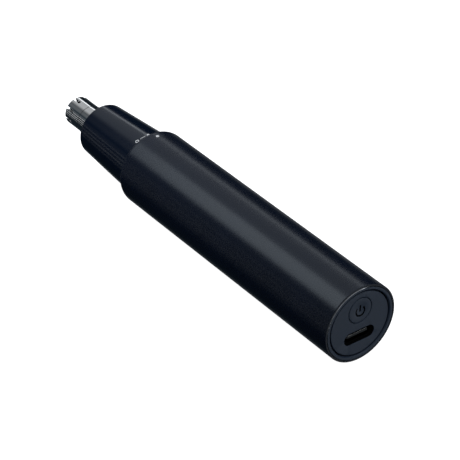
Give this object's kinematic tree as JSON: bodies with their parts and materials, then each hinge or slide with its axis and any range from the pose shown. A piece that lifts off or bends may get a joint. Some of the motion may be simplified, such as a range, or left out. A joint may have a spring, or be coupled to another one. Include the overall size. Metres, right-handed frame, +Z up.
{
  "type": "nose hair trimmer",
  "caption": "Slim cylindrical cordless rotary nose hair trimmer with a twist-off cutting head, an end-face power button and a charging socket.",
  "frame": {"origin": "centre of the bounding box's bottom face, with the trimmer lying on its side on the surface it rests on", "axes": "+Z up; the long axis lies along X, with the cutting tip towards -X and the end face with the power button and charging socket towards +X; the button is above the socket"},
  "size_m": [0.127, 0.022, 0.022],
  "materials": {
    "anodised": "matte blue-black anodised aluminium, fine bead-blasted grain",
    "satin": "smooth satin black moulded plastic",
    "end_plastic": "matte dark slate plastic",
    "steel": "ground and polished stainless steel",
    "black_nylon": "moulded black nylon",
    "rubber": "soft black rubber",
    "foam": "grey closed-cell foam",
    "board": "green solder resist",
    "chip": "black moulded package",
    "tantalum": "ochre moulded package",
    "wrap": "blue heat-shrink sleeve",
    "nickel": "nickel-plated steel",
    "brass": "stamped brass",
    "copper": "copper",
    "magnet": "dark sintered ferrite",
    "bronze": "oil-filled sintered bronze",
    "wire_red": "red wire insulation",
    "wire_blue": "blue wire insulation",
    "acetal": "natural white acetal"
  },
  "bodies": {
    "handle": {"barrel": "anodised", "end_ring": "end_plastic", "end_cap": "end_plastic", "usb_shell": "nickel", "usb_tongue": "chip", "usb_gasket": "rubber", "circuit_board": "board", "board_screw_1": "nickel", "board_screw_2": "nickel", "charge_chip": "chip", "motor_driver_chip": "chip", "board_capacitor": "tantalum", "board_inductor": "magnet", "switch_body": "chip", "battery_cell": "wrap", "battery_cap": "nickel", "battery_tab_negative": "nickel", "battery_tab_positive": "nickel", "battery_pad_upper": "foam", "battery_pad_lower": "foam", "chassis_cover": "black_nylon", "chassis_tray": "black_nylon", "motor_lead_a": "wire_red", "motor_lead_b": "wire_blue", "battery_lead": "wire_red", "motor_can": "nickel", "motor_end_bell": "acetal", "motor_magnet_a": "magnet", "motor_magnet_b": "magnet", "motor_brush_a": "copper", "motor_brush_b": "copper", "motor_terminal_a": "brass", "motor_terminal_b": "brass", "motor_damper": "rubber", "neck": "black_nylon", "motor_screw_1": "nickel", "motor_screw_2": "nickel", "shaft_seal": "rubber", "neck_seal": "rubber", "head_lock_spring": "nickel"},
    "drive": {"motor_shaft": "steel", "commutator": "copper", "armature_core": "copper", "drive_coupling": "acetal"},
    "cartridge": {"spindle_carrier": "acetal", "spindle_bush": "bronze"},
    "rotor": {"drive_spindle": "steel", "rotor_washer": "bronze", "rotor_spring": "steel", "inner_cutter": "steel"},
    "head": {"head_sleeve": "satin", "lock_insert": "black_nylon", "carrier_clip": "nickel", "cutter_band": "steel", "cutter_seal": "rubber", "outer_cutter": "steel"},
    "power_button": {"power_button": "end_plastic"},
    "switch_plunger": {"switch_plunger": "wire_red"}
  },
  "joints": [
    {"name": "head_pull", "type": "slide", "parent": "handle", "child": "cartridge", "axis": [-1, 0, 0], "range_m": [0, 0.03], "deforming": ["head_lock_spring"]},
    {"name": "head_twist", "type": "hinge", "parent": "cartridge", "child": "head", "pos_m": [-0.0315, 0, 0.01098], "axis": [-1, 0, 0], "range_deg": [0, 22.5]},
    {"name": "motor_spin", "type": "hinge", "parent": "handle", "child": "drive", "pos_m": [-0.0125, 0, 0.01098], "axis": [-1, 0, 0], "continuous": true},
    {"name": "rotor_spin", "type": "hinge", "parent": "cartridge", "child": "rotor", "pos_m": [-0.0465, 0, 0.01098], "axis": [-1, 0, 0], "continuous": true},
    {"name": "power_button_press", "type": "slide", "parent": "handle", "child": "power_button", "axis": [-1, 0, 0], "range_m": [0, 0.0004], "stiffness_N_per_m": 2000},
    {"name": "switch_plunger_press", "type": "slide", "parent": "handle", "child": "switch_plunger", "axis": [-1, 0, 0], "range_m": [0, 0.0004]}
  ],
  "couplings": [
    {"joint": "rotor_spin", "follows": "motor_spin", "ratio": 1},
    {"joint": "switch_plunger_press", "follows": "power_button_press", "ratio": 1}
  ]
}
